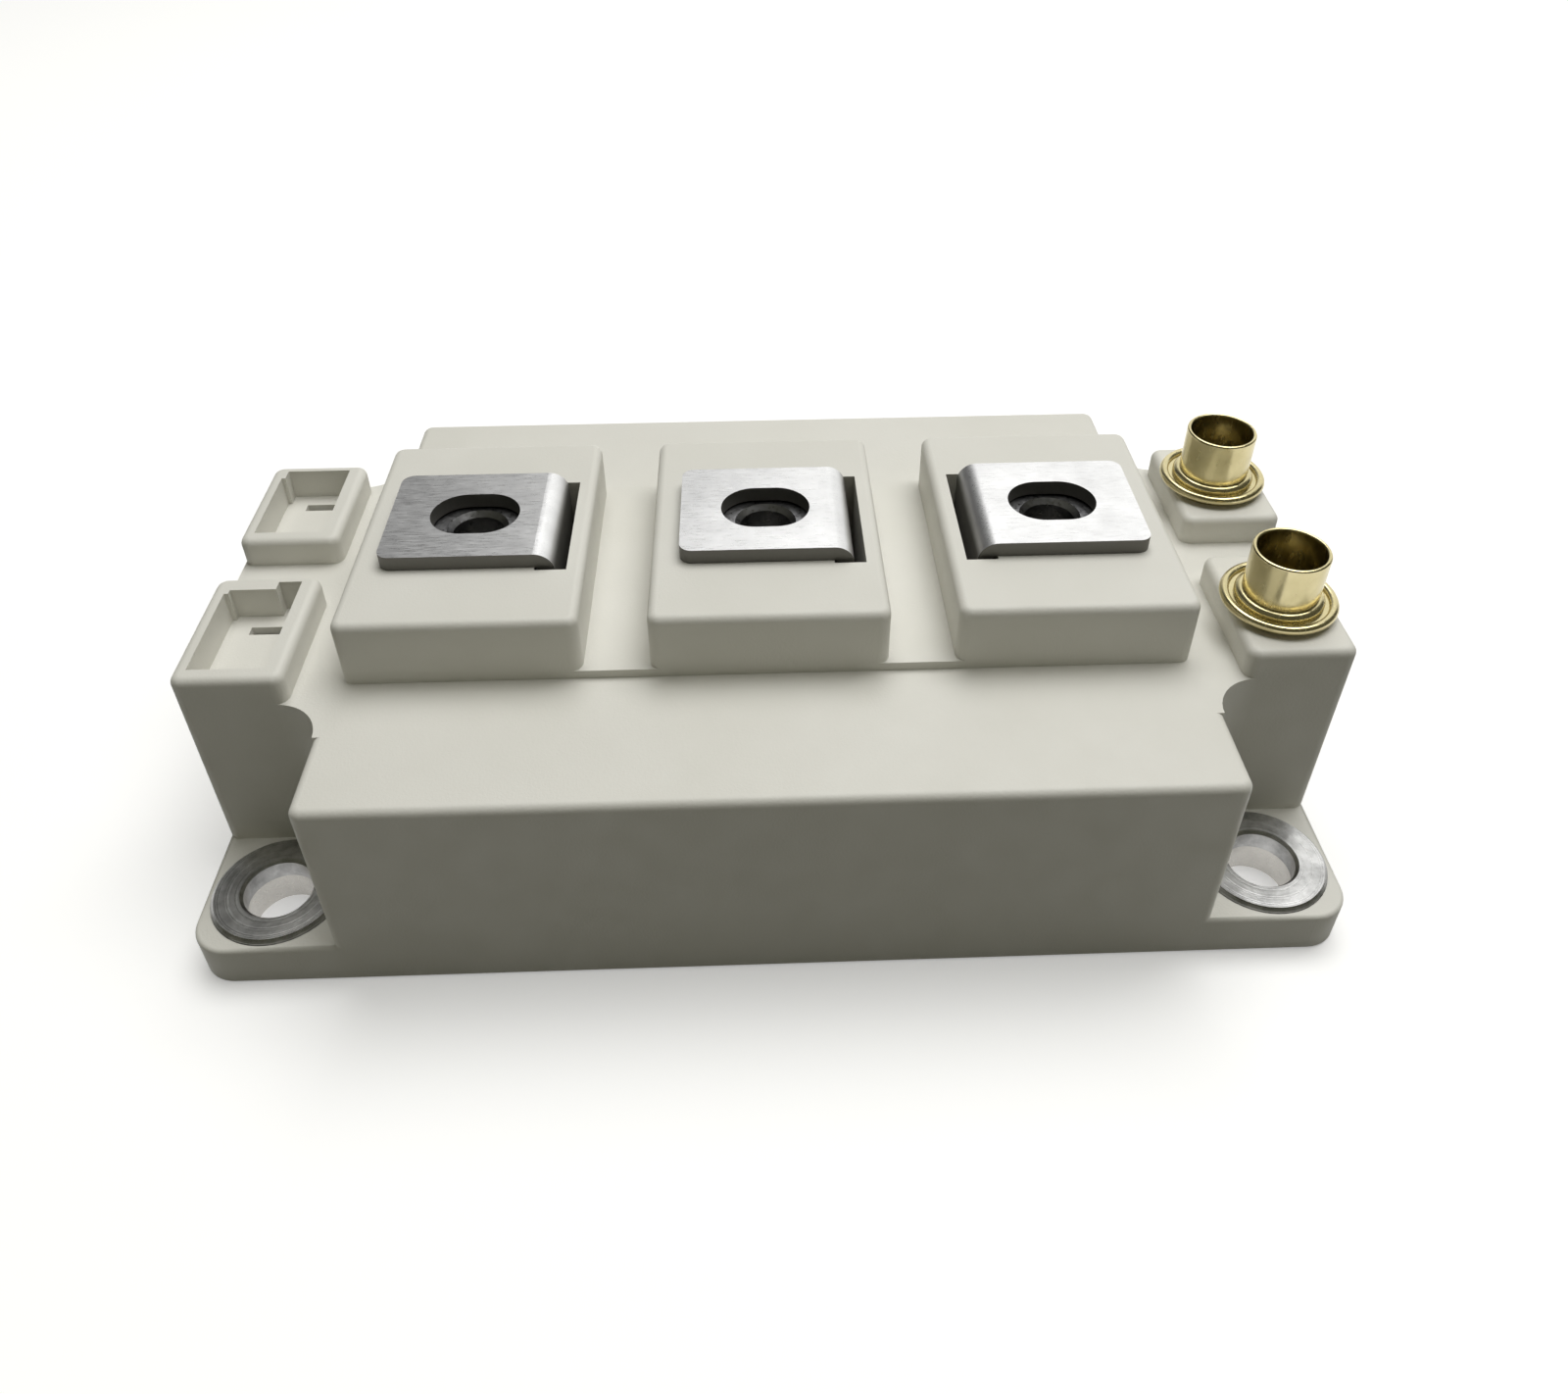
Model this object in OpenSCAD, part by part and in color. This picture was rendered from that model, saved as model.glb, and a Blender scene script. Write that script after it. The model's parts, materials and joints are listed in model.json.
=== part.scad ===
// Half-bridge power module in the 62 mm outline.
// Millimetres, +Z up. The origin is the centre of the base plate's underside.
// +X runs along the row of three terminals, -Y is the front wall.

/* [Housing] */
// Overall length of the housing
body_l = 106.4; // [105:0.2:110]
// Overall width of the housing
body_w = 61.4; // [60.6:0.2:65]
// Corner radius of the mounting pads
pad_r = 3.5; // [2:0.5:4.5]
// Height of the mounting pads above the mounting surface
pad_z = 4.6; // [4.2:0.1:6]
// Height of the front and rear shelves
shelf_z = 22.3; // [21:0.1:24]
// Length of a mounting pad along X, from the housing's end to the front or rear wall
pad_l = 13.2; // [12.8:0.1:13.8]
// Wall and roof thickness of the moulding
wall_t = 2.4; // [2:0.1:2.8]
// Radius along the upper edges
edge_r = 0.8; // [0.4:0.1:1.2]
// Radius of the hollow between a tower and a wall
notch_r = 4.3; // [2:0.1:4.6]
// Gap between the mounting surface and the housing's lower rim
rim_gap = 0.25; // [0.1:0.05:0.6]

/* [Terminal blocks] */
// Distance between neighbouring terminals
terminal_pitch = 28; // [27:0.1:29]
// Size of a block along X
block_w = 21.9; // [21:0.1:23.5]
// Size of a block along Y
block_d = 30; // [28:0.2:33]
// Height of a block above the shelves
block_rise = 6.7; // [6:0.1:8]
// Height of the groove floor above the shelves
groove_rise = 0.9; // [0.4:0.1:2]

/* [Side towers] */
// Width of a tower along X
tower_w = 10; // [9.6:0.1:11]
// Length of a tower along Y
tower_d = 34.9; // [34.4:0.1:35.2]
// Height of a tower above the shelves
tower_rise = 3; // [2.4:0.1:5]
// Width of the valley that splits a tower's top
valley_w = 5.8; // [4.5:0.1:7]
// Distance of the valley's centre from the middle of the module
valley_y = 0.5; // [-0.5:0.1:1]
// Distance between the two signal contacts of a tower
contact_pitch = 20.8; // [20:0.1:21.2]

/* [Mounting] */
// Distance of a mounting hole's centre from both sides of its corner
hole_edge = 6.7; // [6.4:0.1:7]
// Diameter of a mounting hole
hole_d = 6.4; // [5.4:0.1:6.8]
// Outside diameter of a mounting bushing
bushing_d = 12.2; // [11:0.1:12.6]
// Height of a bushing above its pad
bushing_rise = 0.5; // [0.2:0.1:1]

/* [Main terminals] */
// Thickness of the terminal strip
strip_t = 1.5; // [1:0.1:1.8]
// Length of the terminal face along X
tab_w = 16.4; // [15.6:0.1:17]
// Width of the terminal face along Y
tab_d = 13.8; // [12:0.1:14.6]
// Length of the oval hole along X
tab_hole_l = 8.6; // [7:0.1:9]
// Width of the oval hole along Y
tab_hole_w = 6.6; // [6.4:0.1:6.9]
// Inside radius of the fold
fold_r = 0.4; // [0.2:0.1:0.8]
// Width of the soldered foot
foot_w = 8; // [5:0.5:10]
// Width across the flats of the nut
nut_af = 10; // [9:0.1:10.2]
// Height of the nut
nut_h = 5; // [4:0.1:5.2]
// Diameter of the nut's threaded hole
nut_bore_d = 5; // [4:0.1:5.4]

/* [Contact pockets] */
// Size of a pocket along X
pocket_w = 6.6; // [5.6:0.1:7]
// Size of a pocket along Y
pocket_d = 6.7; // [5.6:0.1:7]
// Depth of a pocket below the tower's top
pocket_depth = 3.3; // [2.4:0.1:3.8]
// Distance of the pockets behind the sleeves' places
pocket_shift = 2.6; // [2:0.1:2.8]
// Width of a signal contact
blade_w = 2.8; // [2:0.1:3.2]
// Thickness of a signal contact
blade_t = 0.8; // [0.5:0.1:1]

/* [Contact sleeves] */
// Outside diameter of a sleeve's tube
sleeve_d = 7; // [6.4:0.1:7.4]
// Wall thickness of the tube
sleeve_t = 0.4; // [0.3:0.05:0.6]
// Diameter of a sleeve's flange
flange_d = 10.8; // [9.8:0.1:10.8]
// Height of the tube above the tower's top
sleeve_rise = 6.4; // [5:0.1:8]
// Length of the tube below the tower's top
sleeve_depth = 7; // [6.2:0.1:8]
// Diameter of a signal lead
lead_d = 1; // [0.8:0.1:1.4]

/* [Base plate and substrates] */
// Thickness of the base plate
plate_t = 3; // [2.5:0.1:3.4]
// Distance of the base plate's edge inside the housing's edge
plate_inset = 1.5; // [1.3:0.1:1.8]
// Width of the adhesive bead round the base plate
bead_w = 0.5; // [0.3:0.05:0.6]
// Length of a substrate along X
sub_w = 33; // [31:0.1:33.4]
// Length of a substrate along Y
sub_d = 46; // [44:0.2:50]
// Distance of a substrate's centre from the middle of the module
sub_x = 18.5; // [17.6:0.1:18.7]
// Thickness of the ceramic
ceramic_t = 0.4; // [0.25:0.05:1]
// Thickness of each copper layer
copper_t = 0.3; // [0.2:0.05:0.5]
// Bare margin of the ceramic round its copper
ceramic_margin = 1; // [0.6:0.1:1.4]
// Gap between neighbouring copper tracks
track_gap = 1; // [0.6:0.1:1.2]
// Width of the emitter track
emitter_w = 6; // [5:0.1:6.2]
// Width of a signal track
signal_w = 1.2; // [1.1:0.05:1.3]
// Side of a transistor chip
igbt_w = 11.6; // [10:0.1:11.8]
// Length of a diode chip along X
diode_w = 6.8; // [5.6:0.1:7]
// Thickness of a chip with its solder
chip_t = 0.25; // [0.15:0.05:0.4]
// Distance between the two rows of chips
row_pitch = 25; // [24:0.2:27]
// Diameter of a bond wire
wire_d = 0.4; // [0.25:0.05:0.5]
// Rise of a bond wire above its ends
wire_rise = 1.6; // [1:0.1:2]
// Height of the gel above the mounting surface
gel_z = 10; // [8.8:0.1:11]

/* [Hidden] */
$fn = 64;
eps = 0.01;
clear = 0.05;        // radial clearance of pressed-in round pieces
slot_clear = 0.4;    // clearance of a strip in its slot
nut_clear = 0.1;     // clearance round a nut

// Housing heights and places that follow from the sizes above
wall_l = body_l - 2 * pad_l;
hole_x = body_l - 2 * hole_edge;
hole_y = body_w - 2 * hole_edge;
upright_r = edge_r + 0.3;
roof_z = shelf_z - wall_t;
block_z = shelf_z + block_rise;
tower_z = shelf_z + tower_rise;
tower_x = body_l / 2 - tower_w / 2;
tower_in = body_l / 2 - tower_w;
plate_l = body_l - 2 * plate_inset;
plate_w = body_w - 2 * plate_inset;
plate_r = pad_r - plate_inset + bead_w;
seat_z = pad_z + bushing_rise;

// Terminal fold and slot, measured from the terminal's centre
fold_out = fold_r + strip_t;
tab_r = 1.2;         // corner radius of the terminal face
slot_open = 1.1;     // open width of the slot beside the leg
tab_z = block_z + strip_t;
slot_in = tab_w / 2 - fold_out;
slot_out = tab_w / 2 + slot_open;
slot_d = tab_d + 2 * slot_clear;

// Nut seat in a block
nut_sink = 0.2;      // depth of the nut below the block's top
nut_chamfer = 0.5;
screw_room = 5.5;    // room for the end of the screw below the nut
screw_d = hole_d + 0.2;
boss_t = 1.5;        // wall of the boss round that room
boss_d = screw_d + 2 * boss_t;
nut_z = block_z - nut_sink - nut_h;
nut_floor = nut_z - nut_clear;
screw_z = nut_floor - screw_room;

// Contact pockets
pocket_z = tower_z - pocket_depth;
key_w = 2.2;         // key notch in a pocket's rear corner
key_d = 1.1;
blade_top = pocket_z - 0.8;
blade_y = 1.1;       // distance of the contact behind the pocket's centre
blade_clear = 0.15;

// Contact sleeves: places, and heights of the flange above the tower's top
sleeve_x = body_l / 2 - flange_d / 2;
sleeve_floor = tower_z - sleeve_depth;
bore_r = sleeve_d / 2 - sleeve_t;
flange_lip = 0.45;   // radius of the rolled rim
flange_base = 0.5;
flange_top = 1.3;
flange_t = 0.4;
seat_back = 0.8;     // how far the seat ring stands back under the rim
swell_r = 0.6;       // swelling at the foot of the tube

// Substrate stack, from the base plate upwards
ceramic_z = plate_t + copper_t;
track_z = ceramic_z + ceramic_t;
track_top = track_z + copper_t;
chip_top = track_top + chip_t;

// Tracks on a substrate, measured from its centre with the emitter track at -X
track_d = sub_d - 2 * ceramic_margin;
emitter_x0 = -sub_w / 2 + ceramic_margin;
emitter_x = emitter_x0 + emitter_w / 2;
collector_x0 = emitter_x0 + emitter_w + track_gap;
signal_gap = 0.6;
sense_x = sub_w / 2 - ceramic_margin - signal_w / 2;
gate_x = sense_x - signal_w - signal_gap;
collector_x1 = gate_x - signal_w / 2 - track_gap;
chip_edge = 0.4;
diode_x = collector_x0 + chip_edge + diode_w / 2;
igbt_x = collector_x1 - chip_edge - igbt_w / 2;

// Bond wires
wire_count = 6;
wire_sides = 24;
wire_edge = 1.5;     // distance of the outer wires from a chip's edge
wire_pitch = (igbt_w - 2 * wire_edge) / (wire_count - 1);
wire_foot = 1.4;
bond_d = 1.5 * wire_d;   // foot of a wire on a track
signal_pitch = 1.2;  // distance between the gate wire and the sense wire

// Links and leads
link_t = 0.8;
link_w = 2.4;
link_in = 2;         // distance of its left foot inside the collector track
link_z = chip_top + wire_rise + 1;
link_y = row_pitch / 2 + igbt_w / 2 + 0.5 + link_w / 2;
lead_z = gel_z - 2;
jog_z = gel_z + 1.5;
foot_l = 3;

// ---------- shared shapes ----------

// A flat rectangle with round corners
module round_rect(l, w, r) {
    square([l - 2 * r, w], center = true);
    square([l, w - 2 * r], center = true);
    for (x = [-1, 1], y = [-1, 1])
        translate([x * (l / 2 - r), y * (w / 2 - r)]) circle(r);
}

// Half of an upright section whose upper corner is rounded by r
module crown_half(w, h, r) {
    square([w, h - r]);
    square([w - r, h]);
    translate([w - r, h - r]) circle(r);
}

// An upright section, w wide, with both upper corners rounded by r
module crown(w, h, r) {
    crown_half(w / 2, h, r);
    mirror([1, 0]) crown_half(w / 2, h, r);
}

// A block that stands on z = 0, with upright edges of radius big and upper edges of radius r
module soft_block(l, w, h, big, r) {
    rotate([90, 0, 90]) translate([0, 0, -l / 2 + big])
        linear_extrude(l - 2 * big) crown(w, h, r);
    rotate([90, 0, 0]) translate([0, 0, -w / 2 + big])
        linear_extrude(w - 2 * big) crown(l, h, r);
    for (x = [0, 1], y = [0, 1])
        mirror([x, 0, 0]) mirror([0, y, 0])
            translate([l / 2 - big, w / 2 - big, 0])
                rotate_extrude(angle = 90) intersection() {
                    crown_half(big, h, r);
                    square([big, h]);
                }
}

// A quarter ring between two radii, h deep
module quarter_ring(r_in, r_out, h) {
    linear_extrude(h) intersection() {
        difference() {
            circle(r_out);
            circle(r_in);
        }
        square(r_out);
    }
}

// A plain box from its low corner to its high corner
module span(low, high) {
    translate(low) cube(high - low);
}

// Repeats its children at the three terminals
module at_terminals() {
    for (i = [-1, 0, 1]) translate([i * terminal_pitch, 0, 0]) children();
}

// Repeats its children at the four mounting holes
module at_holes() {
    for (x = [-1, 1], y = [-1, 1]) translate([x * hole_x / 2, y * hole_y / 2, 0]) children();
}

// ---------- housing ----------

// One half of a tower, from y0 to y1
module tower_part(side, y0, y1) {
    translate([side * tower_x, (y0 + y1) / 2, rim_gap])
        soft_block(tower_w, y1 - y0, tower_z - rim_gap, upright_r, edge_r);
}

// Plan of the webs that join the towers to the walls, with hollow corners
module web_plan() {
    square([2 * tower_in + 2 * edge_r, tower_d], center = true);
    for (x = [0, 1], y = [0, 1])
        mirror([x, 0]) mirror([0, y]) translate([wall_l / 2, tower_d / 2]) difference() {
            translate([-edge_r, -1]) square([edge_r + notch_r, 1 + notch_r]);
            translate([notch_r, notch_r]) circle(notch_r);
        }
}

module housing_outside() {
    translate([0, 0, rim_gap]) {
        soft_block(body_l, body_w, pad_z - rim_gap, pad_r, edge_r / 2);
        soft_block(wall_l, body_w, shelf_z - rim_gap, upright_r, edge_r);
        linear_extrude(shelf_z - rim_gap) web_plan();
    }
    for (side = [-1, 1]) {
        tower_part(side, -tower_d / 2, valley_y - valley_w / 2);
        tower_part(side, valley_y + valley_w / 2, tower_d / 2);
        translate([side * tower_x, valley_y, (rim_gap + shelf_z) / 2])
            cube([tower_w, valley_w + 4 * upright_r, shelf_z - rim_gap], center = true);
    }
    at_terminals() translate([0, 0, roof_z])
        soft_block(block_w, block_d, block_z - roof_z, upright_r, edge_r);
    translate([0, 0, (roof_z + shelf_z + groove_rise) / 2])
        cube([2 * terminal_pitch, block_d, shelf_z + groove_rise - roof_z], center = true);
}

// The hollow under the roof, with the screw bosses left standing
module housing_inside() {
    difference() {
        union() {
            span([-wall_l / 2 + wall_t, -body_w / 2 + wall_t, plate_t - eps],
                 [wall_l / 2 - wall_t, body_w / 2 - wall_t, roof_z]);
            span([-body_l / 2 + wall_t, -tower_d / 2 + wall_t, plate_t - eps],
                 [body_l / 2 - wall_t, tower_d / 2 - wall_t, roof_z]);
        }
        at_terminals() translate([0, 0, screw_z - wall_t / 2]) cylinder(h = roof_z, d = boss_d);
    }
    // hollow before and behind the nut seat in each block
    room_d = (block_d - slot_d) / 2;
    at_terminals() for (y = [-1, 1])
        translate([0, y * (slot_d + room_d) / 2, roof_z])
            cube([block_w - 2 * wall_t, room_d - 2 * wall_t,
                  2 * (block_z - roof_z - wall_t)], center = true);
}

// Slot for the folded leg of a terminal
module leg_slot() {
    span([slot_in, -slot_d / 2, roof_z - eps], [slot_out, slot_d / 2, block_z + 1]);
}

// Hexagonal seat for a nut, with room for the end of the screw
module nut_seat() {
    translate([0, 0, nut_floor]) rotate(30)
        cylinder(h = nut_h + 1, d = (nut_af + 2 * nut_clear) / cos(30), $fn = 6);
    translate([0, 0, screw_z]) cylinder(h = nut_h + 2, d = screw_d);
}

// Pocket in the left tower, with a key notch and a slot for its contact
module contact_pocket(notch) {
    translate([-pocket_w / 2, -pocket_d / 2, pocket_z]) cube([pocket_w, pocket_d, pocket_depth + 1]);
    if (notch)
        translate([pocket_w / 2 - key_w, pocket_d / 2 - 1, pocket_z])
            cube([key_w, key_d + 1, pocket_depth + 1]);
    translate([0, blade_y, pocket_z])
        cube([blade_w + 2 * blade_clear, blade_t + 2 * blade_clear, 3 * wall_t], center = true);
}

module housing() {
    color("ivory") difference() {
        housing_outside();
        translate([0, 0, rim_gap - 1]) linear_extrude(plate_t - rim_gap + 1)
            round_rect(plate_l + 2 * bead_w, plate_w + 2 * bead_w, plate_r + bead_w);
        housing_inside();
        at_holes() cylinder(h = pad_z + 1, d = bushing_d + 2 * clear);
        for (i = [-1, 0]) translate([i * terminal_pitch, 0, 0]) leg_slot();
        translate([terminal_pitch, 0, 0]) mirror([1, 0, 0]) leg_slot();
        at_terminals() nut_seat();
        translate([-tower_x, pocket_shift - contact_pitch / 2, 0]) contact_pocket(true);
        translate([-tower_x, pocket_shift + contact_pitch / 2, 0]) contact_pocket(false);
        for (y = [-1, 1]) translate([sleeve_x, y * contact_pitch / 2, sleeve_floor - clear])
            cylinder(h = sleeve_depth + 1, d = sleeve_d + 2 * clear);
    }
}

// ---------- base ----------

module plate_plan() {
    round_rect(plate_l, plate_w, plate_r);
}

module base_plate() {
    color("silver") difference() {
        linear_extrude(plate_t) plate_plan();
        at_holes() translate([0, 0, -1]) cylinder(h = plate_t + 2, d = hole_d);
    }
}

module adhesive_bead() {
    color("gainsboro") translate([0, 0, plate_t / 4]) linear_extrude(plate_t * 3 / 4) difference() {
        round_rect(plate_l + 2 * bead_w, plate_w + 2 * bead_w, plate_r + bead_w);
        plate_plan();
    }
}

module bushing(x, y) {
    h = seat_z - plate_t;
    lip = 0.3;
    color("lightsteelblue") translate([x * hole_x / 2, y * hole_y / 2, plate_t]) difference() {
        union() {
            cylinder(h = h - lip, d = bushing_d);
            translate([0, 0, h - lip]) cylinder(h = lip, d1 = bushing_d, d2 = bushing_d - 2 * lip);
        }
        translate([0, 0, -1]) cylinder(h = h + 2, d = hole_d);
        translate([0, 0, h - lip]) cylinder(h = lip + eps, d1 = hole_d, d2 = hole_d + 2 * lip);
    }
}

// ---------- main terminals ----------

// The screw face of a terminal and its fold, with the fold at +X
module tab_and_fold() {
    difference() {
        union() {
            span([tab_r - tab_w / 2, -tab_d / 2, block_z], [slot_in, tab_d / 2, tab_z]);
            span([-tab_w / 2, tab_r - tab_d / 2, block_z], [0, tab_d / 2 - tab_r, tab_z]);
            for (y = [-1, 1])
                translate([tab_r - tab_w / 2, y * (tab_d / 2 - tab_r), block_z])
                    cylinder(h = strip_t, r = tab_r);
            translate([slot_in, tab_d / 2, block_z - fold_r]) rotate([90, 0, 0])
                quarter_ring(fold_r, fold_out, tab_d);
        }
        for (x = [-1, 1])
            translate([x * (tab_hole_l - tab_hole_w) / 2, 0, block_z - 1])
                cylinder(h = strip_t + 2, d = tab_hole_w);
        translate([0, 0, block_z])
            cube([tab_hole_l - tab_hole_w, tab_hole_w, 3 * strip_t], center = true);
    }
}

// Straight leg, from the fold down to z
module leg(z) {
    span([tab_w / 2 - strip_t, -tab_d / 2, z], [tab_w / 2, tab_d / 2, block_z - fold_r]);
}

// Leg that runs straight down to a foot on the track below
module short_terminal() {
    tab_and_fold();
    leg(roof_z - wall_t);
    span([tab_w / 2 - strip_t, -foot_w / 2, track_top], [tab_w / 2, foot_w / 2, roof_z]);
    span([tab_w / 2 - strip_t - foot_l, -foot_w / 2, track_top],
         [tab_w / 2, foot_w / 2, track_top + strip_t]);
}

// Leg that runs across above the gel before it goes down to the other substrate
module long_terminal() {
    foot_x = -sub_x - emitter_x;
    tab_and_fold();
    leg(jog_z);
    span([foot_x - strip_t / 2, -foot_w / 2, jog_z], [tab_w / 2, foot_w / 2, jog_z + strip_t]);
    span([foot_x - strip_t / 2, -foot_w / 2, track_top],
         [foot_x + strip_t / 2, foot_w / 2, jog_z + strip_t]);
    span([foot_x - strip_t / 2, -foot_w / 2, track_top],
         [foot_x + foot_l - 1, foot_w / 2, track_top + strip_t]);
}

module terminal_left() {
    color("silver") translate([-terminal_pitch, 0, 0]) short_terminal();
}

module terminal_middle() {
    color("silver") long_terminal();
}

module terminal_right() {
    color("silver") translate([terminal_pitch, 0, 0]) mirror([1, 0, 0]) short_terminal();
}

module nut(i) {
    color("gray") translate([i * terminal_pitch, 0, nut_z]) difference() {
        rotate(30) cylinder(h = nut_h, d = nut_af / cos(30), $fn = 6);
        translate([0, 0, -1]) cylinder(h = nut_h + 2, d = nut_bore_d);
        translate([0, 0, nut_h - nut_chamfer])
            cylinder(h = nut_chamfer + eps, d1 = nut_bore_d, d2 = nut_bore_d + 2 * nut_chamfer);
    }
}

// ---------- signal contacts ----------

// Half section of a sleeve: tube, swelling foot, dished flange with a rolled rim, seat ring
module sleeve_section() {
    tube_r = sleeve_d / 2;
    rim_r = flange_d / 2;
    // tube wall, with a rounded mouth
    translate([bore_r, -sleeve_depth]) square([sleeve_t, sleeve_depth + sleeve_rise - sleeve_t / 2]);
    translate([bore_r + sleeve_t / 2, sleeve_rise - sleeve_t / 2]) circle(sleeve_t / 2);
    // closed bottom
    translate([0, -sleeve_depth]) square([tube_r, 2 * sleeve_t]);
    // seat ring, set back under the flange
    translate([bore_r, 0]) square([rim_r - seat_back - bore_r, flange_base]);
    // flange plate and rolled rim
    translate([bore_r, flange_base]) square([rim_r - flange_lip - bore_r, flange_t]);
    translate([rim_r - flange_lip, flange_top - flange_lip]) circle(flange_lip);
    // swelling at the foot of the tube
    translate([bore_r, flange_base]) square([sleeve_t, 3 * swell_r]);
    translate([tube_r, flange_base + swell_r]) circle(swell_r);
}

module sleeve(y) {
    color("gold") translate([sleeve_x, y * contact_pitch / 2, tower_z])
        rotate_extrude() intersection() {
            sleeve_section();
            translate([0, -2 * sleeve_depth]) square([flange_d, 2 * sleeve_depth + 2 * sleeve_rise]);
        }
}

// Track under a lead, from the substrate's centre: the front leads serve the gates, the rear ones sense
function lead_foot(y) = y < 0 ? gate_x : sense_x;

// Round lead from the bottom of a sleeve, inwards above the tracks and down to its track
module sleeve_lead(y) {
    foot_x = sub_x + lead_foot(y);
    color("gold") translate([0, y * contact_pitch / 2, 0]) {
        translate([sleeve_x, 0, lead_z]) cylinder(h = sleeve_floor - lead_z, d = lead_d);
        translate([sleeve_x, 0, lead_z]) sphere(d = lead_d);
        translate([foot_x, 0, lead_z]) rotate([0, 90, 0]) cylinder(h = sleeve_x - foot_x, d = lead_d);
        translate([foot_x, 0, lead_z]) sphere(d = lead_d);
        translate([foot_x, 0, track_top]) cylinder(h = lead_z - track_top, d = lead_d);
    }
}

// Flat contact below a pocket's slot, led inwards to its track
module pocket_contact(y) {
    x0 = -tower_x;
    foot_x = -sub_x - lead_foot(y);
    color("silver") translate([0, pocket_shift + y * contact_pitch / 2 + blade_y, 0]) {
        span([x0 - blade_w / 2, -blade_t / 2, lead_z], [x0 + blade_w / 2, blade_t / 2, blade_top]);
        span([x0 - blade_w / 2, -blade_t / 2, lead_z],
             [foot_x + blade_t / 2, blade_t / 2, lead_z + blade_w / 2]);
        span([foot_x - blade_t / 2, -blade_t / 2, track_top],
             [foot_x + blade_t / 2, blade_t / 2, lead_z + eps]);
    }
}

// ---------- substrates ----------

// Places its children on a substrate: the left one is the mirror image of the right one
module on_substrate(side) {
    mirror([side < 0 ? 1 : 0, 0, 0]) translate([sub_x, 0, 0]) children();
}

module bottom_copper(side) {
    color("peru") on_substrate(side) translate([0, 0, plate_t + copper_t / 2])
        cube([sub_w - 2 * ceramic_margin, track_d, copper_t], center = true);
}

module ceramic(side) {
    color("whitesmoke") on_substrate(side) translate([0, 0, ceramic_z + ceramic_t / 2])
        cube([sub_w, sub_d, ceramic_t], center = true);
}

module collector_track(side) {
    color("peru") on_substrate(side)
        span([collector_x0, -track_d / 2, track_z], [collector_x1, track_d / 2, track_top]);
}

module emitter_track(side) {
    color("peru") on_substrate(side)
        span([emitter_x0, -track_d / 2, track_z], [emitter_x0 + emitter_w, track_d / 2, track_top]);
}

module signal_track(side, x) {
    color("peru") on_substrate(side)
        span([x - signal_w / 2, -track_d / 2, track_z], [x + signal_w / 2, track_d / 2, track_top]);
}

module igbt(side, row) {
    color("dimgray") on_substrate(side) translate([igbt_x, row * row_pitch / 2, track_top + chip_t / 2])
        cube([igbt_w, igbt_w, chip_t], center = true);
}

module diode(side, row) {
    color("slategray") on_substrate(side) translate([diode_x, row * row_pitch / 2, track_top + chip_t / 2])
        cube([diode_w, igbt_w - 2, chip_t], center = true);
}

// Flat arc of wire in the XZ plane from x0 to x1, cut off level with z = 0
module wire(x0, x1) {
    half = (x1 - x0) / 2;
    r = (half * half + wire_rise * wire_rise) / (2 * wire_rise);
    translate([(x0 + x1) / 2, 0, 0]) intersection() {
        translate([0, 0, wire_rise - r]) rotate([90, 0, 0])
            rotate_extrude() translate([r, 0]) circle(d = wire_d, $fn = wire_sides);
        translate([0, 0, r]) cube([4 * r, 2 * wire_d, 2 * r], center = true);
    }
}

// Wires from each transistor over its diode to the emitter track
module emitter_wires(side) {
    color("gainsboro") on_substrate(side)
        for (row = [-1, 1], i = [0 : wire_count - 1])
            translate([0, row * row_pitch / 2 + (i - (wire_count - 1) / 2) * wire_pitch, chip_top]) {
                wire(diode_x + wire_foot / 2, igbt_x + wire_foot / 2);
                wire(emitter_x, diode_x - wire_foot / 2);
                translate([emitter_x, 0, -chip_t]) cylinder(h = chip_t, d = bond_d, $fn = wire_sides);
            }
}

// Wires from each transistor to the gate and sense tracks
module signal_wires(side) {
    y0 = (row_pitch + igbt_w) / 2 - wire_edge;
    color("gainsboro") on_substrate(side)
        for (row = [-1, 1], i = [0, 1])
            translate([0, row * (y0 - i * signal_pitch), chip_top]) {
                x1 = i == 0 ? gate_x : sense_x;
                wire(igbt_x + igbt_w / 2 - wire_foot, x1);
                translate([x1, 0, -chip_t]) cylinder(h = chip_t, d = bond_d, $fn = wire_sides);
            }
}

// Copper bridge from the right emitter track over to the left collector track
module link(y) {
    x0 = -sub_x - collector_x0 - link_in;
    x1 = sub_x + emitter_x;
    color("peru") translate([0, y * link_y, 0]) {
        span([x0, -link_w / 2, link_z], [x1, link_w / 2, link_z + link_t]);
        span([x0, -link_w / 2, track_top], [x0 + link_t, link_w / 2, link_z]);
        span([x1 - link_t, -link_w / 2, track_top], [x1, link_w / 2, link_z]);
    }
}

// Everything that stands in the gel
module potted_pieces() {
    terminal_left();
    terminal_middle();
    terminal_right();
    for (y = [-1, 1]) {
        sleeve_lead(y);
        pocket_contact(y);
        link(y);
    }
    for (side = [-1, 1]) {
        bottom_copper(side);
        ceramic(side);
        collector_track(side);
        emitter_track(side);
        signal_track(side, gate_x);
        signal_track(side, sense_x);
        emitter_wires(side);
        signal_wires(side);
        for (row = [-1, 1]) {
            igbt(side, row);
            diode(side, row);
        }
    }
}

module silicone_gel() {
    color("lightcyan") difference() {
        union() {
            span([-wall_l / 2 + wall_t, -body_w / 2 + wall_t, plate_t],
                 [wall_l / 2 - wall_t, body_w / 2 - wall_t, gel_z]);
            span([-body_l / 2 + wall_t, -tower_d / 2 + wall_t, plate_t],
                 [body_l / 2 - wall_t, tower_d / 2 - wall_t, gel_z]);
        }
        potted_pieces();
    }
}

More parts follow.
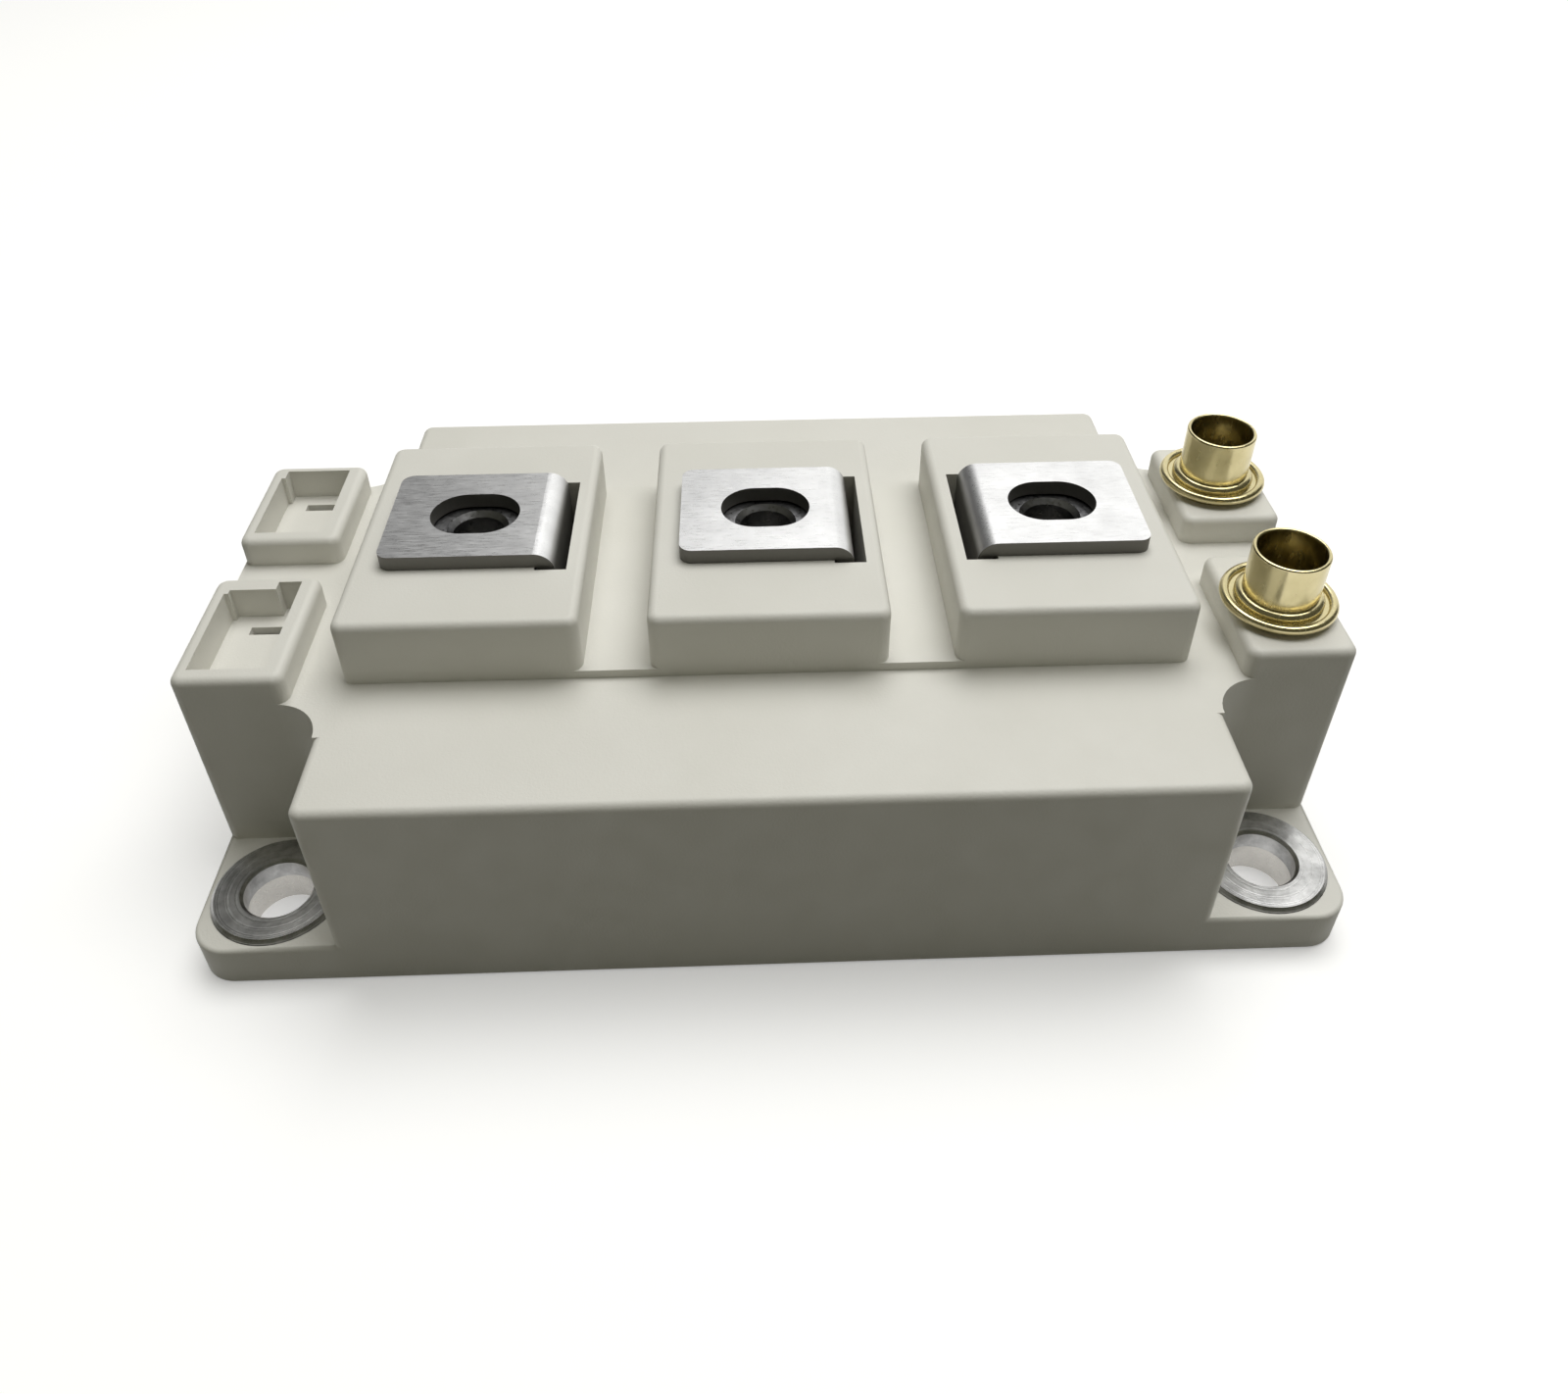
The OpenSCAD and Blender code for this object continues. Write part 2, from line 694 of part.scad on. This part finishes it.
housing();
base_plate();
adhesive_bead();
silicone_gel();
bushing(-1, -1);  // bushing_front_left
bushing(1, -1);  // bushing_front_right
bushing(-1, 1);  // bushing_rear_left
bushing(1, 1);  // bushing_rear_right
terminal_left();
terminal_middle();
terminal_right();
nut(-1);  // nut_left
nut(0);  // nut_middle
nut(1);  // nut_right
sleeve(-1);  // sleeve_front
sleeve(1);  // sleeve_rear
sleeve_lead(-1);  // sleeve_lead_front
sleeve_lead(1);  // sleeve_lead_rear
pocket_contact(-1);  // pocket_contact_front
pocket_contact(1);  // pocket_contact_rear
ceramic(-1);  // ceramic_left
ceramic(1);  // ceramic_right
bottom_copper(-1);  // bottom_copper_left
bottom_copper(1);  // bottom_copper_right
collector_track(-1);  // collector_track_left
collector_track(1);  // collector_track_right
emitter_track(-1);  // emitter_track_left
emitter_track(1);  // emitter_track_right
signal_track(-1, gate_x);  // gate_track_left
signal_track(1, gate_x);  // gate_track_right
signal_track(-1, sense_x);  // sense_track_left
signal_track(1, sense_x);  // sense_track_right
igbt(-1, -1);  // igbt_left_front
igbt(-1, 1);  // igbt_left_rear
igbt(1, -1);  // igbt_right_front
igbt(1, 1);  // igbt_right_rear
diode(-1, -1);  // diode_left_front
diode(-1, 1);  // diode_left_rear
diode(1, -1);  // diode_right_front
diode(1, 1);  // diode_right_rear
emitter_wires(-1);  // emitter_wires_left
emitter_wires(1);  // emitter_wires_right
signal_wires(-1);  // signal_wires_left
signal_wires(1);  // signal_wires_right
link(-1);  // link_front
link(1);  // link_rear
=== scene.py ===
import json
import math
import bmesh
import bpy
from mathutils import Matrix, Vector


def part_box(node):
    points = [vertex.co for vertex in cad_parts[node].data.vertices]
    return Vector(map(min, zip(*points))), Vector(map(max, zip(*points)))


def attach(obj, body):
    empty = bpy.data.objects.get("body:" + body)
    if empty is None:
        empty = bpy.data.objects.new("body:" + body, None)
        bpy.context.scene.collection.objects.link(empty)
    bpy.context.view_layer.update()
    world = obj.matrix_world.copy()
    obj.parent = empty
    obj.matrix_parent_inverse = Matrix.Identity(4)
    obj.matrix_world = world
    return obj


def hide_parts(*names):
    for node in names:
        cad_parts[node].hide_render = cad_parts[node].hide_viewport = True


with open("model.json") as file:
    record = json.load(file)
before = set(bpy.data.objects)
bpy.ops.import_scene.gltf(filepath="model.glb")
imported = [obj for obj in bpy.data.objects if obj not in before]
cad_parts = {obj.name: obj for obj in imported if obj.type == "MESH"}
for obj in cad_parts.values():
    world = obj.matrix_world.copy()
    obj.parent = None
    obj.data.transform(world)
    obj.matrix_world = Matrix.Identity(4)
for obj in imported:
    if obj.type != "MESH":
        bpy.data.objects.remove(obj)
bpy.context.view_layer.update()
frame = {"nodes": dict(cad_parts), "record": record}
nodes = frame["nodes"]
MM = 0.001

# ---------- numbers ----------

# Colours are linear light, depths of bumps are in metres.
WHITE = (1, 1, 1)
IVORY_DARK, IVORY_LIGHT = (0.73, 0.72, 0.665), (0.76, 0.75, 0.70)
IVORY_ROUGH = (0.42, 0.54)
IVORY_SPECULAR = 0.4
GEL_COLOUR = (0.9, 0.95, 0.95)
GEL_ROUGH = (0.05, 0.12)
GEL_TRANSMISSION, GEL_IOR = 0.9, 1.4

# By material slot: light and dark colour, roughness range, density of the grain
# along X, Y and Z per mm, strength of the grain, metallic.
GRAINED = {
    "nickel": ((0.80, 0.80, 0.81), (0.66, 0.66, 0.67), (0.24, 0.40), (0.8, 9, 9), 0.35, 1),
    "nickel_copper": ((0.74, 0.72, 0.68), (0.62, 0.60, 0.57), (0.24, 0.38), (6, 0.4, 6), 0.5, 1),
    "dark_steel": ((0.34, 0.34, 0.35), (0.16, 0.16, 0.17), (0.25, 0.45), (3, 3, 3), 0.5, 1),
    "gold": ((0.70, 0.62, 0.37), (0.56, 0.49, 0.27), (0.16, 0.30), (1.5, 1.5, 0.6), 0.3, 1),
    "tin": ((0.66, 0.66, 0.65), (0.52, 0.52, 0.51), (0.3, 0.45), (2, 2, 2), 0.5, 1),
    "copper": ((0.80, 0.46, 0.30), (0.66, 0.34, 0.20), (0.28, 0.42), (2, 2, 2), 0.5, 1),
    "silicon": ((0.42, 0.43, 0.46), (0.34, 0.35, 0.38), (0.15, 0.25), (2, 2, 2), 0.5, 1),
    "bond_wire": ((0.84, 0.84, 0.84), (0.74, 0.74, 0.74), (0.2, 0.3), (4, 4, 4), 0.5, 1),
    "white_ceramic": ((0.86, 0.86, 0.84), (0.82, 0.82, 0.80), (0.4, 0.5), (3, 3, 3), 0.5, 0),
    "adhesive": ((0.72, 0.72, 0.70), (0.66, 0.66, 0.64), (0.5, 0.65), (2, 2, 2), 0.5, 0),
}
GRAIN_DEPTH = 0.00001

# Painted shade on the cut edges and lower fold of a terminal: sideways and downward faces get a
# dark colour and a rougher finish. The slope is the normal's height: painted shade at the first
# value and below, plain plating at the second and above.
SIDE_SHADE_COLOUR, SIDE_ROUGH = (0.20, 0.195, 0.18), 0.6
SHADE_SLOPE = (0.1, 0.85)

TURNED_LIGHT, TURNED_DARK = (0.58, 0.58, 0.58), (0.34, 0.34, 0.34)
TURNED_ROUGH = (0.22, 0.42)
TURNED_RINGS = 5.0

# Contact pockets of the left tower as long as in the photo, in mm.
POCKET_X = (-51.9, -44.9)
POCKETS_Y = ((-15.85, -5), (4.95, 15))
POCKET_Z = (22.0, 26.0)
WELD = 1e-7

# Stage, in metres and watts.
FLOOR_SIZE, FLOOR_Z = (6, 6), -0.00005
FLOOR_SEEN, FLOOR_GLOW = (0.86, 0.86, 0.86), 0.36
FLOOR_BOUNCE = (0.22, 0.215, 0.2)
SKY_STRENGTH = 1.0
FILL_COLOUR, FILL_STRENGTH = (1, 0.985, 0.72), 0.10
KEY_PLACE, KEY_TARGET = (0.14, 0.20, 0.80), (0, 0, 0.02)
KEY_SIZE, KEY_WATTS, KEY_COLOUR = (0.75, 0.60), 6.3, (1, 0.997, 0.985)

# Card behind the part: place along its width, from 0 to 1, and brightness there.
CARD_STOPS = ((0.0, 0.06), (0.30, 0.05), (0.395, 0.12), (0.43, 0.38),
              (0.475, 0.42), (0.515, 0.85), (0.60, 0.95), (1.0, 0.85))
CARD_SIZE, CARD_PLACE = (2.4, 1.5), (0, 0.75, 0.62)
CARD_TILT = math.radians(75)
CARD_STRENGTH, CARD_BLUE = 1.2, 0.97

# Camera fitted to the photo: radians, mm and pixels.
CAM_YAW, CAM_PITCH, CAM_ROLL = 0.0329, 0.6674, -0.0041
CAM_PLACE = (-1.5445, -101.195, 100.174)
CAM_FOCAL, CAM_CENTRE_Y = 1288.8, 600
PHOTO_W, PHOTO_H = 1600, 1422
SENSOR_W = 36
CLIP_START = 0.005

# ---------- node helpers ----------


def start(tree, kind, out="ShaderNodeOutputMaterial"):
    """Empties a tree, then gives it an output and the shader that feeds it."""
    tree.nodes.clear()
    shader = tree.nodes.new(kind)
    tree.links.new(shader.outputs[0], tree.nodes.new(out).inputs[0])
    return shader


def new_material(name, kind="ShaderNodeBsdfPrincipled"):
    mat = bpy.data.materials.new(name)
    mat.use_nodes = True
    return mat, mat.node_tree, start(mat.node_tree, kind)


def plain(tree, kind, colour, strength=None):
    """Shader of one colour, with a strength if it glows."""
    n = tree.nodes.new(kind)
    n.inputs[0].default_value = (*colour, 1)
    if strength is not None:
        n.inputs[1].default_value = strength
    return n.outputs[0]


def seen_by(tree, mix, rays, seen, hidden):
    """Makes a mix shader show one shader to the named rays, another to the rest."""
    path = tree.nodes.new("ShaderNodeLightPath")
    fac = path.outputs[rays[0]]
    for ray in rays[1:]:
        either = tree.nodes.new("ShaderNodeMath")
        either.operation = "MAXIMUM"
        tree.links.new(fac, either.inputs[0])
        tree.links.new(path.outputs[ray], either.inputs[1])
        fac = either.outputs[0]
    for source, socket in zip((fac, hidden, seen), mix.inputs):
        tree.links.new(source, socket)


def texture_at(tree, kind):
    return tree.nodes.new("ShaderNodeTexCoord").outputs[kind]


def mapped(tree, vector, scale, shift=(0, 0, 0)):
    n = tree.nodes.new("ShaderNodeMapping")
    n.inputs["Scale"].default_value = scale
    n.inputs["Location"].default_value = shift
    tree.links.new(vector, n.inputs["Vector"])
    return n.outputs[0]


def in_mm(tree, centre=(0, 0, 0)):
    """Object coordinates in millimetres, measured from a centre."""
    scale = (1 / MM, 1 / MM, 1 / MM)
    return mapped(tree, texture_at(tree, "Object"), scale, [-c for c in centre])


def split(tree, vector):
    n = tree.nodes.new("ShaderNodeSeparateXYZ")
    tree.links.new(vector, n.inputs[0])
    return n.outputs


def join(tree, *values):
    n = tree.nodes.new("ShaderNodeCombineXYZ")
    for value, socket in zip(values, n.inputs):
        tree.links.new(value, socket)
    return n.outputs[0]


def noise(tree, vector, scale, detail, rough=0.5):
    n = tree.nodes.new("ShaderNodeTexNoise")
    n.inputs["Scale"].default_value = scale
    n.inputs["Detail"].default_value = detail
    n.inputs["Roughness"].default_value = rough
    tree.links.new(vector, n.inputs["Vector"])
    return n.outputs[0]


def remap(tree, value, old, new=(0, 1)):
    """Maps a range of values to another one, clamped at its ends."""
    n = tree.nodes.new("ShaderNodeMapRange")
    for socket, v in zip(("From Min", "From Max", "To Min", "To Max"), (*old, *new)):
        n.inputs[socket].default_value = v
    tree.links.new(value, n.inputs["Value"])
    return n.outputs[0]


def blend_colour(tree, fac, a, b):
    """Colour a at 0 and b at 1, each a tuple or a socket."""
    n = tree.nodes.new("ShaderNodeMix")
    n.data_type = "RGBA"
    for socket, v in ((n.inputs[6], a), (n.inputs[7], b)):
        if isinstance(v, tuple):
            socket.default_value = (*v, 1)
        else:
            tree.links.new(v, socket)
    tree.links.new(fac, n.inputs[0])
    return n.outputs[2]


def blend_from(tree, fac, a, b):
    """Number a at 0, value of socket b at 1."""
    n = tree.nodes.new("ShaderNodeMix")
    n.inputs[2].default_value = a
    tree.links.new(fac, n.inputs[0])
    tree.links.new(b, n.inputs[3])
    return n.outputs[0]


def dress(tree, shader, colour, rough):
    tree.links.new(colour, shader.inputs["Base Color"])
    tree.links.new(rough, shader.inputs["Roughness"])


def bump(tree, shader, height, depth, strength, below=None):
    """Bumps the shader's normal, on top of the bump below if there is one."""
    n = tree.nodes.new("ShaderNodeBump")
    n.inputs["Distance"].default_value = depth
    n.inputs["Strength"].default_value = strength
    tree.links.new(height, n.inputs["Height"])
    if below is not None:
        tree.links.new(below, n.inputs["Normal"])
    tree.links.new(n.outputs[0], shader.inputs["Normal"])
    return n.outputs[0]


# ---------- materials ----------


def plastic():
    """Moulded plastic with a cloudy tone, slow waves and fine grain."""
    mat, tree, sh = new_material("ivory_plastic_look")
    v = in_mm(tree)
    tone = remap(tree, noise(tree, v, scale=0.05, detail=3, rough=0.6), (0.35, 0.65))
    cloud = noise(tree, v, scale=0.3, detail=2)
    dress(tree, sh, blend_colour(tree, tone, IVORY_DARK, IVORY_LIGHT),
          remap(tree, cloud, (0.3, 0.7), IVORY_ROUGH))
    sh.inputs["Specular IOR Level"].default_value = IVORY_SPECULAR
    wave = bump(tree, sh, noise(tree, v, scale=0.12, detail=1), depth=0.0006, strength=0.25)
    bump(tree, sh, noise(tree, v, scale=4.5, detail=2), depth=0.00003, strength=0.6, below=wave)
    return mat


def grained(slot):
    """Patchy colour with fine grain, which also changes the roughness."""
    light, dark, rough, density, grain, metallic = GRAINED[slot]
    mat, tree, sh = new_material(slot + "_look")
    v = in_mm(tree)
    streak = noise(tree, mapped(tree, v, density), scale=1.0, detail=4, rough=0.6)
    patch = noise(tree, v, scale=0.25, detail=3, rough=0.6)
    sh.inputs["Metallic"].default_value = metallic
    dress(tree, sh, blend_colour(tree, remap(tree, patch, (0.3, 0.7)), dark, light),
          remap(tree, streak, (0.3, 0.7), rough))
    bump(tree, sh, streak, GRAIN_DEPTH, grain)
    return mat


def turned(name, centre):
    """Steel with fine rings round a centre, as left by turning."""
    mat, tree, sh = new_material(name)
    v = in_mm(tree, centre)
    x, y, _ = split(tree, v)
    radius = tree.nodes.new("ShaderNodeVectorMath")
    radius.operation = "LENGTH"
    tree.links.new(join(tree, x, y), radius.inputs[0])
    along = join(tree, radius.outputs["Value"])
    lines = noise(tree, along, scale=TURNED_RINGS, detail=3, rough=0.6)
    patch = noise(tree, v, scale=0.5, detail=4, rough=0.65)
    sh.inputs["Metallic"].default_value = 1
    tone = remap(tree, patch, (0.35, 0.65))
    dress(tree, sh, blend_colour(tree, tone, TURNED_DARK, TURNED_LIGHT),
          remap(tree, lines, (0.3, 0.7), TURNED_ROUGH))
    below = bump(tree, sh, patch, depth=0.0001, strength=0.35)
    bump(tree, sh, lines, depth=0.00003, strength=0.7, below=below)
    return mat


def nickel():
    """Plated strip; its cut edges and the lower part of its fold are rough, with painted shade
    darkening them.
    """
    mat = grained("nickel")
    tree = mat.node_tree
    sh = next(n for n in tree.nodes if n.type == "BSDF_PRINCIPLED")
    colour, rough = (sh.inputs[name].links[0].from_socket for name in ("Base Color", "Roughness"))
    # Painted shade: dark colour where the normal turns sideways or down, plating colour where it
    # faces up.
    facing_up = remap(tree, split(tree, texture_at(tree, "Normal"))[2], SHADE_SLOPE)
    dress(tree, sh, blend_colour(tree, facing_up, SIDE_SHADE_COLOUR, colour),
          blend_from(tree, facing_up, SIDE_ROUGH, rough))
    return mat


def gel():
    """Clear gel with a softly waved surface."""
    mat, tree, sh = new_material("clear_gel_look")
    v = in_mm(tree)
    sh.inputs["Base Color"].default_value = (*GEL_COLOUR, 1)
    sh.inputs["Transmission Weight"].default_value = GEL_TRANSMISSION
    sh.inputs["IOR"].default_value = GEL_IOR
    cloud = noise(tree, v, scale=0.3, detail=2)
    tree.links.new(remap(tree, cloud, (0.3, 0.7), GEL_ROUGH), sh.inputs["Roughness"])
    bump(tree, sh, noise(tree, v, scale=0.1, detail=1), depth=0.0003, strength=0.3)
    return mat


looks = {"ivory_plastic": plastic(), "nickel": nickel(), "clear_gel": gel()}
looks.update({slot: grained(slot) for slot in GRAINED if slot not in looks})
slots = {s["node"]: s["material_slot"] for s in frame["record"]["subparts"]}
for name, obj in nodes.items():
    if slots[name] == "cast_steel":
        low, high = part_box(name)
        middle = (low + high) / 2 / MM
        look = turned(name + "_look", (middle.x, middle.y, 0))
    else:
        look = looks[slots[name]]
    obj.data.materials.clear()
    obj.data.materials.append(look)

# ---------- housing with the long contact pockets ----------


def add_object(name, data):
    obj = bpy.data.objects.new(name, data)
    bpy.context.scene.collection.objects.link(obj)
    return obj


def box_mesh(name, low, high):
    """Box between two corners given in mm."""
    mesh = bpy.data.meshes.new(name)
    bm = bmesh.new()
    bmesh.ops.create_cube(bm, size=1)
    for v in bm.verts:
        v.co = [(a if c < 0 else b) * MM for c, a, b in zip(v.co, low, high)]
    bm.to_mesh(mesh)
    bm.free()
    return mesh


def cut_away(obj, mesh):
    """Subtracts a mesh from an object."""
    tool = add_object("tool", mesh)
    cut = obj.modifiers.new("cut", "BOOLEAN")
    cut.operation = "DIFFERENCE"
    cut.solver = "EXACT"
    cut.object = tool
    bpy.context.view_layer.update()
    result = obj.evaluated_get(bpy.context.evaluated_depsgraph_get())
    shape = bpy.data.meshes.new_from_object(result)
    obj.modifiers.clear()
    obj.data = shape
    bpy.data.objects.remove(tool)


housing = add_object("housing_shell", nodes["housing"].data.copy())
bm = bmesh.new()
bm.from_mesh(housing.data)
bmesh.ops.remove_doubles(bm, verts=bm.verts, dist=WELD)
bm.to_mesh(housing.data)
bm.free()
for pocket_y in POCKETS_Y:
    cut_away(housing, box_mesh("tool", *zip(POCKET_X, pocket_y, POCKET_Z)))
housing.data.materials.clear()
housing.data.materials.append(looks["ivory_plastic"])
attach(housing, "root")
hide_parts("housing")

# ---------- floor and surroundings ----------


def floor_material():
    """White to the camera, in mirrors and through the gel, grey where it lights the part."""
    mat, tree, mix = new_material("floor_look", "ShaderNodeMixShader")
    lit = tree.nodes.new("ShaderNodeAddShader")
    tree.links.new(plain(tree, "ShaderNodeBsdfDiffuse", FLOOR_SEEN), lit.inputs[0])
    tree.links.new(plain(tree, "ShaderNodeEmission", WHITE, FLOOR_GLOW), lit.inputs[1])
    seen_by(tree, mix, ("Is Camera Ray", "Is Glossy Ray", "Is Transmission Ray"),
            lit.outputs[0], plain(tree, "ShaderNodeBsdfDiffuse", FLOOR_BOUNCE))
    return mat


def card_material():
    """Glow that changes along the width: dark at the left, bright at the right."""
    mat, tree, glow = new_material("card_look", "ShaderNodeEmission")
    x = split(tree, texture_at(tree, "Object"))[0]
    ramp = tree.nodes.new("ShaderNodeValToRGB")
    ramp.color_ramp.interpolation = "B_SPLINE"
    stops = ramp.color_ramp.elements
    for k, (at, level) in enumerate(CARD_STOPS):
        stop = stops[k] if k < 2 else stops.new(at)    # a new ramp has two stops
        stop.position = at
        stop.color = (level, level, level * CARD_BLUE, 1)
    half = CARD_SIZE[0] / 2
    tree.links.new(remap(tree, x, (-half, half)), ramp.inputs[0])
    tree.links.new(ramp.outputs[0], glow.inputs[0])
    glow.inputs[1].default_value = CARD_STRENGTH
    return mat


def plane(name, size, place, tilt, mat):
    """Rectangle that faces up, then tilted about X."""
    mesh = bpy.data.meshes.new(name)
    w, h = size[0] / 2, size[1] / 2
    mesh.from_pydata([(-w, -h, 0), (w, -h, 0), (w, h, 0), (-w, h, 0)], [], [(0, 1, 2, 3)])
    mesh.materials.append(mat)
    obj = add_object(name, mesh)
    obj.location = place
    obj.rotation_euler = (tilt, 0, 0)
    return obj


floor = plane("floor", FLOOR_SIZE, (0, 0, FLOOR_Z), 0, floor_material())

world = bpy.data.worlds.new("studio")
bpy.context.scene.world = world
world.use_nodes = True
tree = world.node_tree
mix = start(tree, "ShaderNodeMixShader", "ShaderNodeOutputWorld")
seen_by(tree, mix, ("Is Camera Ray", "Is Transmission Ray"),
        plain(tree, "ShaderNodeBackground", WHITE, SKY_STRENGTH),
        plain(tree, "ShaderNodeBackground", FILL_COLOUR, FILL_STRENGTH))

# ---------- light ----------

lamp = bpy.data.lights.new("key", "AREA")
lamp.shape = "RECTANGLE"
lamp.size, lamp.size_y = KEY_SIZE
lamp.energy = KEY_WATTS
lamp.color = KEY_COLOUR
key = add_object("key", lamp)
key.location = KEY_PLACE
aim = Vector(KEY_TARGET) - Vector(KEY_PLACE)
key.rotation_euler = aim.to_track_quat("-Z", "Y").to_euler()

# The card shows only in reflections and through the gel.
card = plane("card", CARD_SIZE, CARD_PLACE, CARD_TILT, card_material())
card.visible_camera = False
card.visible_diffuse = False
card.visible_shadow = False

# ---------- camera ----------

cam_data = bpy.data.cameras.new("camera")
cam_data.sensor_width = SENSOR_W
cam_data.lens = CAM_FOCAL * SENSOR_W / PHOTO_W
cam_data.shift_y = (CAM_CENTRE_Y - PHOTO_H / 2) / PHOTO_W
cam_data.clip_start = CLIP_START
camera = add_object("camera", cam_data)
forward = Vector((math.sin(CAM_YAW) * math.cos(CAM_PITCH),
                  math.cos(CAM_YAW) * math.cos(CAM_PITCH), -math.sin(CAM_PITCH)))
right = Vector((math.cos(CAM_YAW), -math.sin(CAM_YAW), 0))
up = right.cross(forward)
side = math.cos(CAM_ROLL) * right + math.sin(CAM_ROLL) * up
top = -math.sin(CAM_ROLL) * right + math.cos(CAM_ROLL) * up
turn = Matrix((side, top, -forward)).transposed().to_4x4()
camera.matrix_world = Matrix.Translation(Vector(CAM_PLACE) * MM) @ turn
bpy.context.scene.camera = camera

bpy.context.scene.view_settings.view_transform = "Standard"
